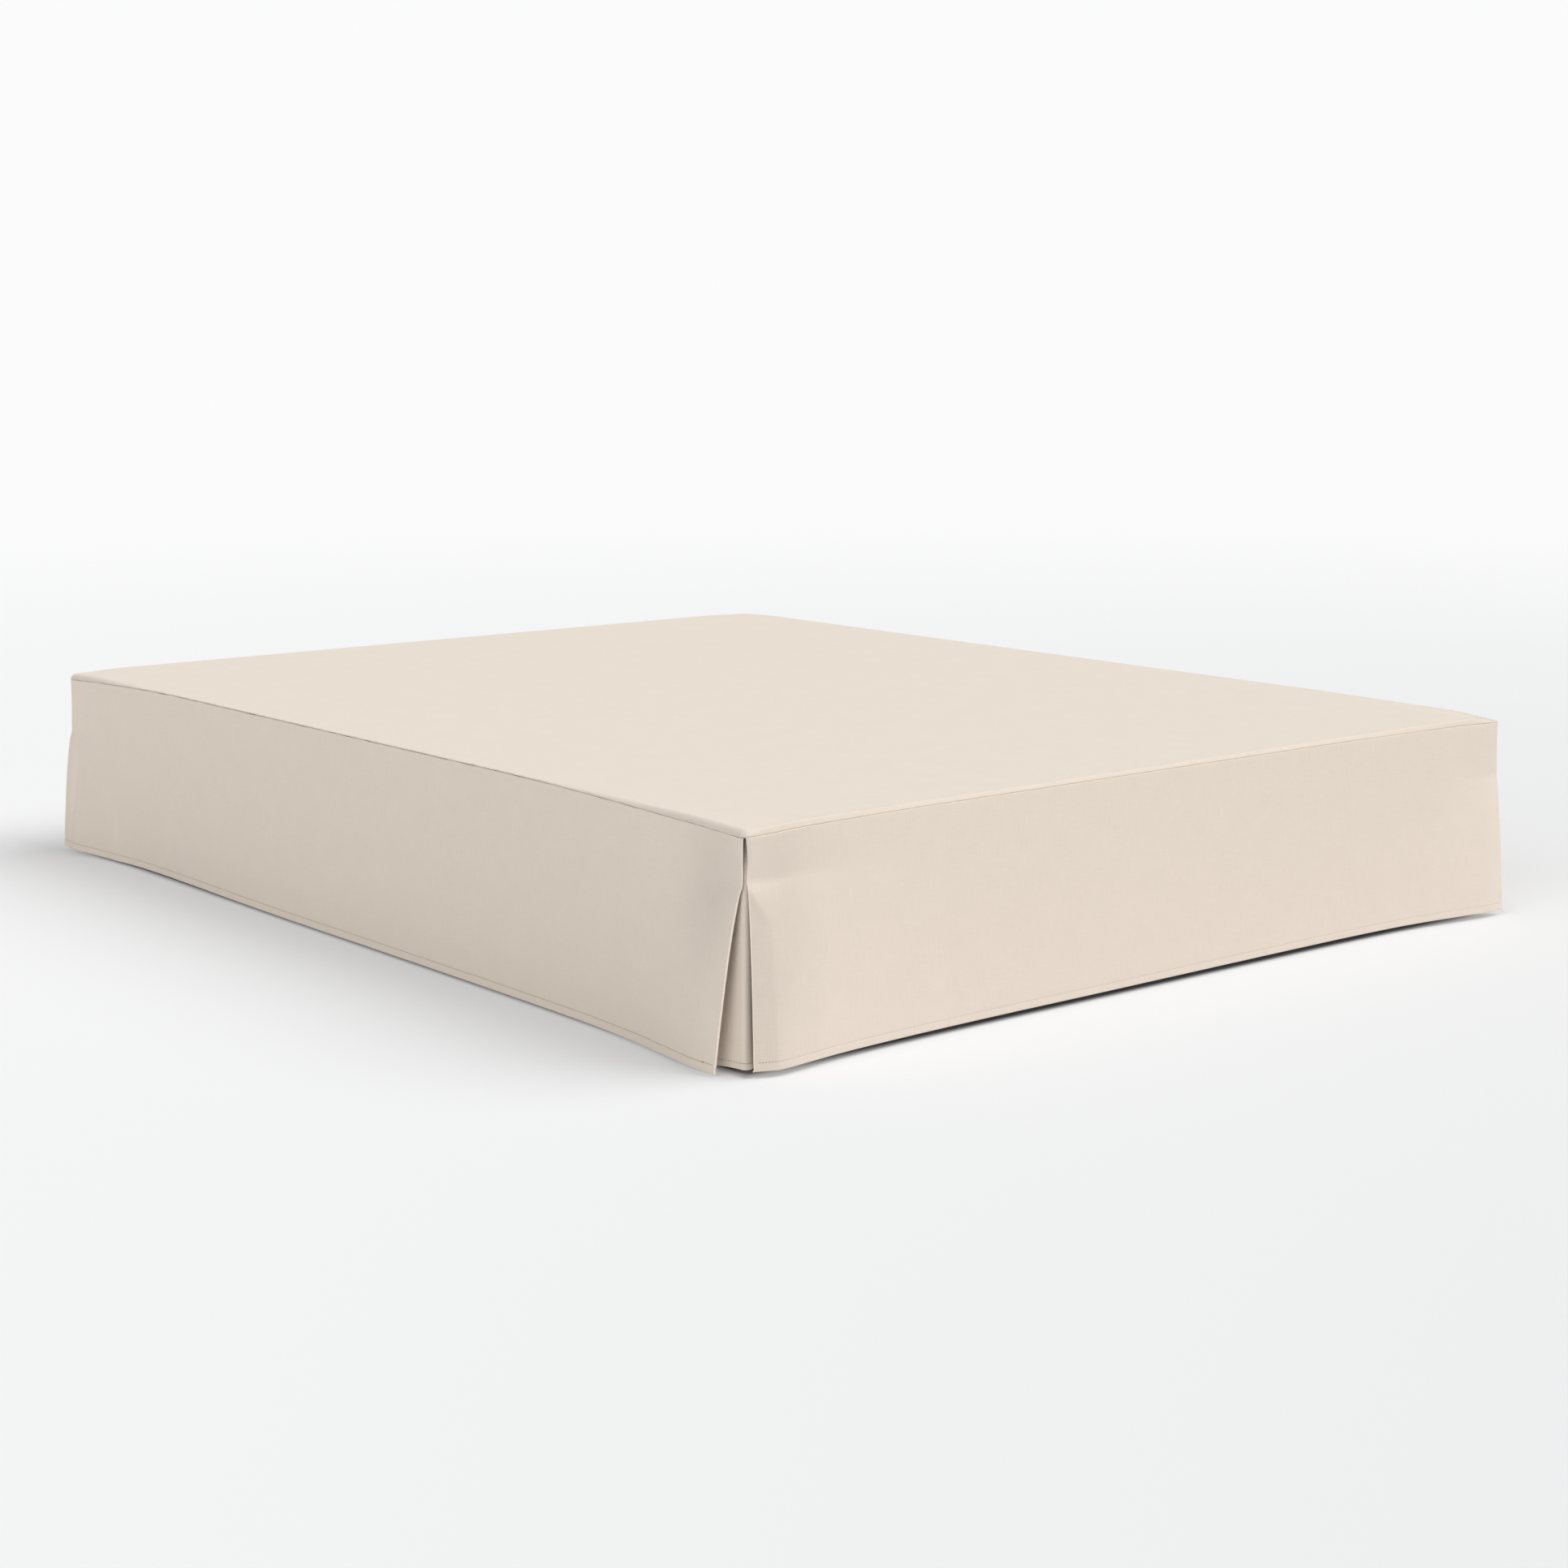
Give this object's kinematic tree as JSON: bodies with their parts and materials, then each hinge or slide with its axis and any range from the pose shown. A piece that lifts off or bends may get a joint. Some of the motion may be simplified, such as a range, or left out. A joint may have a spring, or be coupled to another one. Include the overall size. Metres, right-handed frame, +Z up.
{
  "type": "box spring cover",
  "caption": "Tailored fitted cover for a box spring: flat top panel, straight hemmed skirts and split corner pleats, hollow and open below.",
  "frame": {"origin": "middle of the top panel's underside, where the cover rests on what it covers", "axes": "+Z up, +Y along the bed towards its head, +X across the bed"},
  "size_m": [1.665, 2.0619, 0.3318],
  "materials": {
    "cover_cloth": "matt, finely woven beige cloth"
  },
  "bodies": {
    "root": {"top_panel": "cover_cloth", "skirt_left": "cover_cloth", "skirt_foot": "cover_cloth", "skirt_right": "cover_cloth", "skirt_head": "cover_cloth", "pleat_near": "cover_cloth", "pleat_left": "cover_cloth", "pleat_right": "cover_cloth", "pleat_far": "cover_cloth"}
  },
  "joints": []
}
